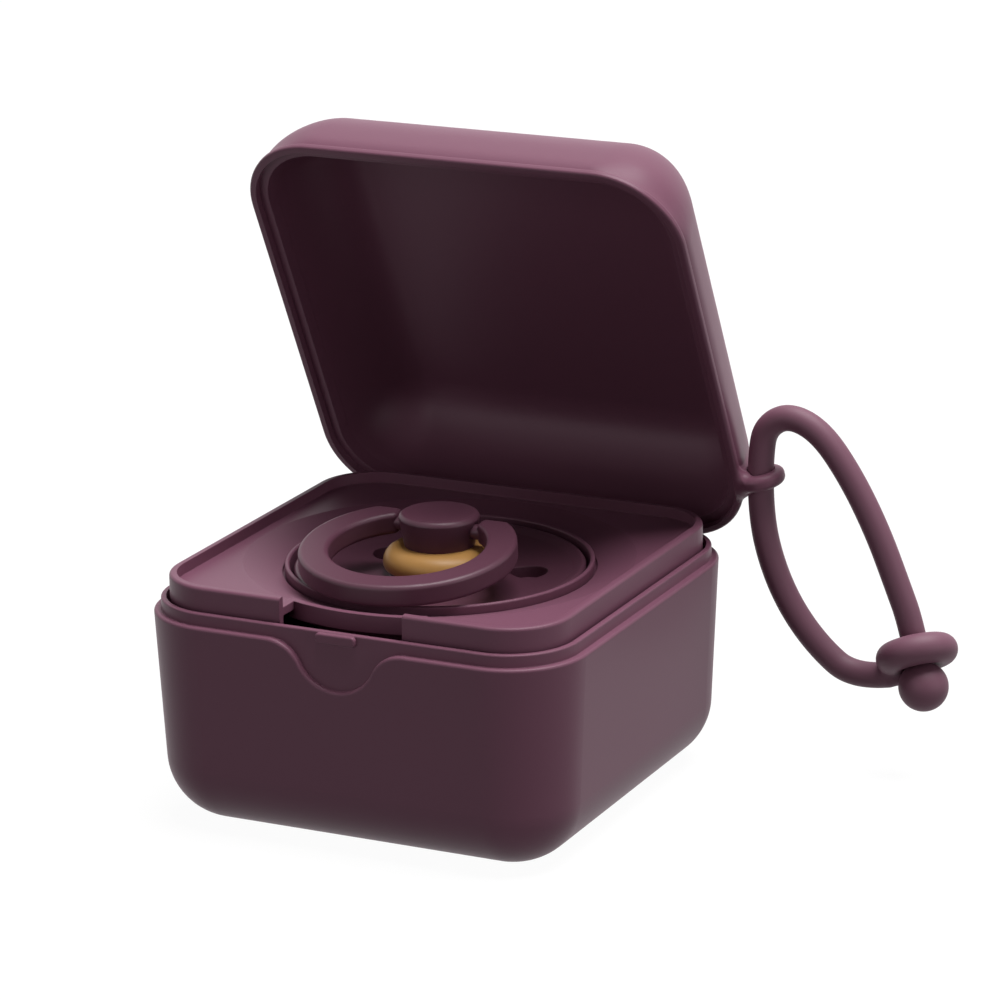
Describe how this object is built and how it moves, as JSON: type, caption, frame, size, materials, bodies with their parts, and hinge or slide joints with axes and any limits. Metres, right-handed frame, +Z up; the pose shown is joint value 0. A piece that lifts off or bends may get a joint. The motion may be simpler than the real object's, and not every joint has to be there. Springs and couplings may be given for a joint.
{
  "type": "pacifier sterilizer case",
  "caption": "Square plastic case with a hinged domed lid, a silicone carrying strap and a lift-out tray that holds a pacifier above the water space for steam sterilizing.",
  "frame": {"origin": "under the middle of the case, on the plane of the base's flat foot", "axes": "+X to the right along the front, +Y from the front to the hinge at the back, +Z up"},
  "size_m": [0.1073, 0.0829, 0.0996],
  "materials": {
    "case_plastic": "fine satin as moulded",
    "strap_silicone": "soft matte silicone",
    "pacifier_plastic": "smooth satin",
    "nipple_rubber": "smooth amber natural rubber"
  },
  "bodies": {
    "base": {"base_case": "case_plastic", "hinge_pin": "case_plastic"},
    "lid": {"lid_shell": "case_plastic", "strap_upper": "strap_silicone", "strap_lower": "strap_silicone", "strap_ring": "strap_silicone", "strap_ball": "strap_silicone"},
    "tray": {"tray_insert": "case_plastic", "pacifier_shield": "pacifier_plastic", "pacifier_nipple": "nipple_rubber", "pacifier_knob": "pacifier_plastic"},
    "ring": {"pacifier_ring": "pacifier_plastic"}
  },
  "joints": [
    {"name": "lid_hinge", "type": "hinge", "parent": "base", "child": "lid", "pos_m": [0, 0.03537, 0.03276], "axis": [-1, 0, 0], "range_deg": [-63.4, 46.6]},
    {"name": "tray_lift", "type": "slide", "parent": "base", "child": "tray", "axis": [0, 0, 1], "range_m": [0, 0.0015]},
    {"name": "ring_swing", "type": "hinge", "parent": "tray", "child": "ring", "pos_m": [0, 0, 0.04149], "axis": [-1, 0, 0], "range_deg": [0, 8]}
  ]
}
